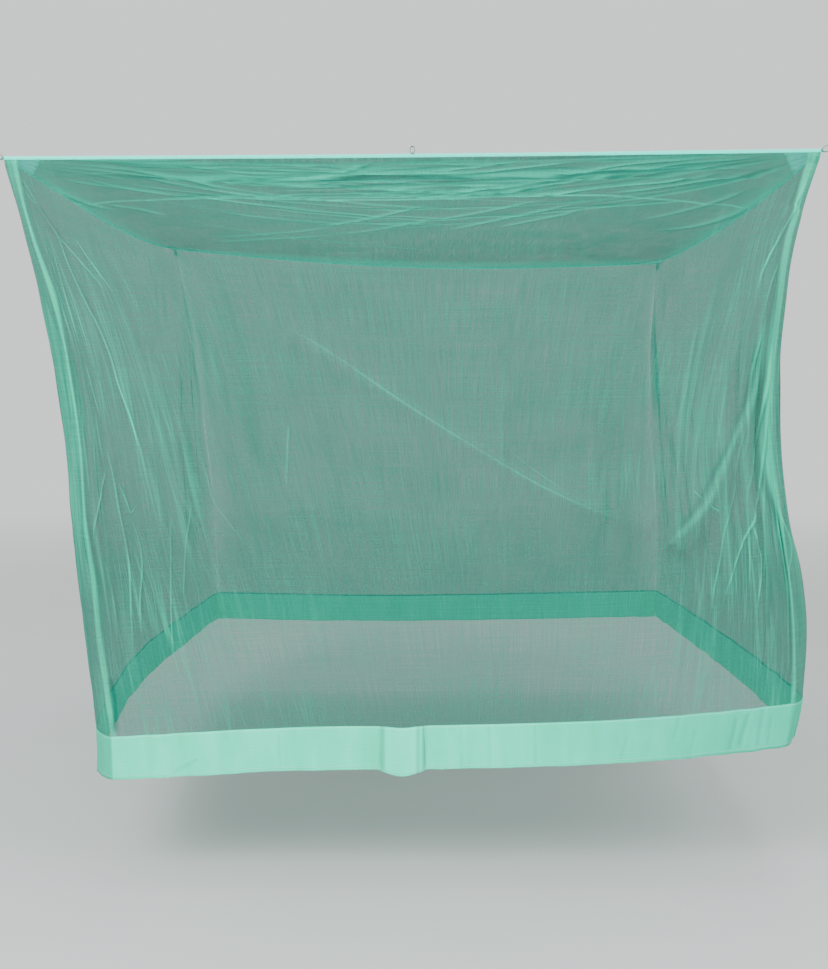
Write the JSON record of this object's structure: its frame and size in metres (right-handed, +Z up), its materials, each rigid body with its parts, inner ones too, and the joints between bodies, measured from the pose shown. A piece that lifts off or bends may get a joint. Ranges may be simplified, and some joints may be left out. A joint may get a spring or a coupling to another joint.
{
  "type": "box-shaped mosquito net canopy",
  "caption": "Rectangular bed net of sheer green netting with a flat roof, four walls, an opaque border along the foot and hanging loops at the top corners.",
  "frame": {"origin": "on the top of the edge tape, in the middle of the front top edge, where the small front loop stands", "axes": "+X along the front edge to the right as seen from the front, +Y to the back, +Z up; the net hangs below its loops"},
  "size_m": [2.1045, 2.0189, 1.5952],
  "materials": {
    "netting": "fine sheer polyester netting, green",
    "border_cloth": "plain opaque polyester cloth, mint, matt",
    "edge_tape": "narrow woven binding tape, bright mint",
    "loop_tape": "narrow woven tape, grey-green"
  },
  "bodies": {
    "root": {"wall_net_front": "netting", "wall_net_back": "netting", "wall_net_left": "netting", "wall_net_right": "netting", "roof_net_narrow": "netting", "roof_net_wide": "netting", "border_front": "border_cloth", "border_back": "border_cloth", "border_left": "border_cloth", "border_right": "border_cloth", "edge_tape_front": "edge_tape", "edge_tape_back": "edge_tape", "edge_tape_left": "edge_tape", "edge_tape_right": "edge_tape", "corner_patch_front_left": "border_cloth", "corner_patch_front_right": "border_cloth", "corner_patch_back_left": "border_cloth", "corner_patch_back_right": "border_cloth", "hanging_loop_front_left": "loop_tape", "hanging_loop_front_right": "loop_tape", "hanging_loop_back_left": "loop_tape", "hanging_loop_back_right": "loop_tape", "hanging_loop_front_middle": "loop_tape"}
  },
  "joints": []
}
